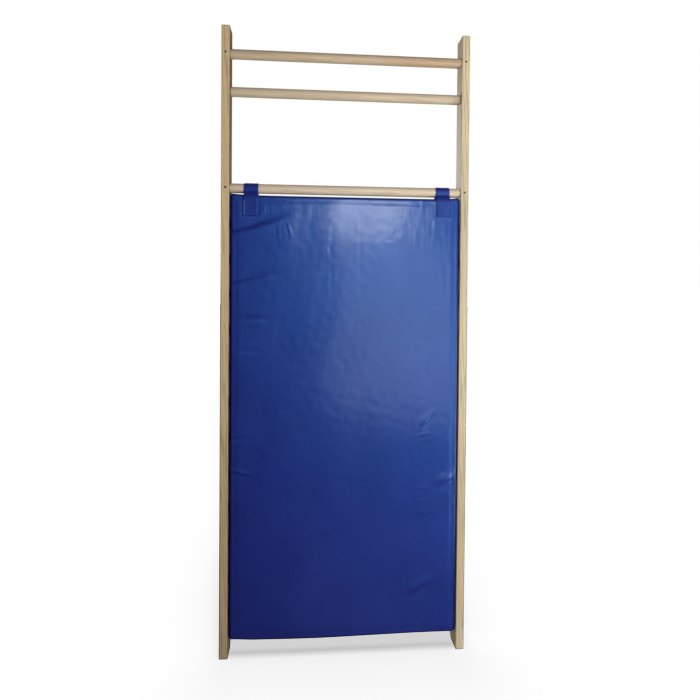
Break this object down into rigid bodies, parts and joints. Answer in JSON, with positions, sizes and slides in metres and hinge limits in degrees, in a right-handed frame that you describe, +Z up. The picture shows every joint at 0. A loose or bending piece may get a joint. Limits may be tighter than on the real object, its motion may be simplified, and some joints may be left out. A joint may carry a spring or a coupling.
{
  "type": "wall bars with padded back board",
  "caption": "Wooden wall-bars panel: two upright boards joined by round rungs, with a blue vinyl-covered foam pad hung by two straps from one rung.",
  "frame": {"origin": "on the floor, below the centre of the whole panel's bounding box", "axes": "+Z up along the uprights, +Y towards the wall behind the panel, +X to the right as seen from the front"},
  "size_m": [0.91, 0.0792, 2.3],
  "materials": {
    "uprights": "satin",
    "rungs": "satin",
    "screws": "satin",
    "foam": "matte",
    "vinyl": "gloss",
    "back_vinyl": "satin",
    "strap_vinyl": "gloss",
    "hook_tape": "matte",
    "loop_tape": "matte",
    "zip_cloth": "matte",
    "zip_metal": "satin"
  },
  "bodies": {
    "frame": {"left_upright": "uprights", "right_upright": "uprights", "rung_01": "rungs", "rung_02": "rungs", "rung_03": "rungs", "rung_04": "rungs", "rung_05": "rungs", "rung_06": "rungs", "rung_07": "rungs", "rung_08": "rungs", "rung_09": "rungs", "rung_10": "rungs", "rung_11": "rungs", "rung_12": "rungs", "rung_13": "rungs", "rung_14": "rungs", "rung_15": "rungs", "rung_screws": "screws"},
    "pad": {"foam_core": "foam", "front_cover": "vinyl", "back_cover": "back_vinyl", "left_strap": "strap_vinyl", "right_strap": "strap_vinyl", "left_loop_patch": "loop_tape", "right_loop_patch": "loop_tape", "zip_tape": "zip_cloth"},
    "left_strap_flap": {"left_flap": "strap_vinyl", "left_hook_patch": "hook_tape"},
    "right_strap_flap": {"right_flap": "strap_vinyl", "right_hook_patch": "hook_tape"},
    "zip_runner": {"zip_slider": "zip_metal"},
    "zip_tab": {"zip_pull": "zip_metal"}
  },
  "joints": [
    {"name": "pad_swing", "type": "hinge", "parent": "frame", "child": "pad", "pos_m": [0, -0.0084, 1.72], "axis": [-1, 0, 0], "range_deg": [0, 90]},
    {"name": "left_flap_peel", "type": "hinge", "parent": "pad", "child": "left_strap_flap", "pos_m": [-0.3475, -0.0396, 1.686], "axis": [-1, 0, 0], "range_deg": [0, 150]},
    {"name": "right_flap_peel", "type": "hinge", "parent": "pad", "child": "right_strap_flap", "pos_m": [0.3575, -0.0396, 1.686], "axis": [-1, 0, 0], "range_deg": [0, 150]},
    {"name": "zip_slide", "type": "slide", "parent": "pad", "child": "zip_runner", "axis": [-1, 0, 0], "range_m": [0, 0.738]},
    {"name": "zip_tab_flip", "type": "hinge", "parent": "zip_runner", "child": "zip_tab", "pos_m": [0.37, -0.0056, 0.107], "axis": [0, 0, -1], "range_deg": [0, 175]}
  ]
}
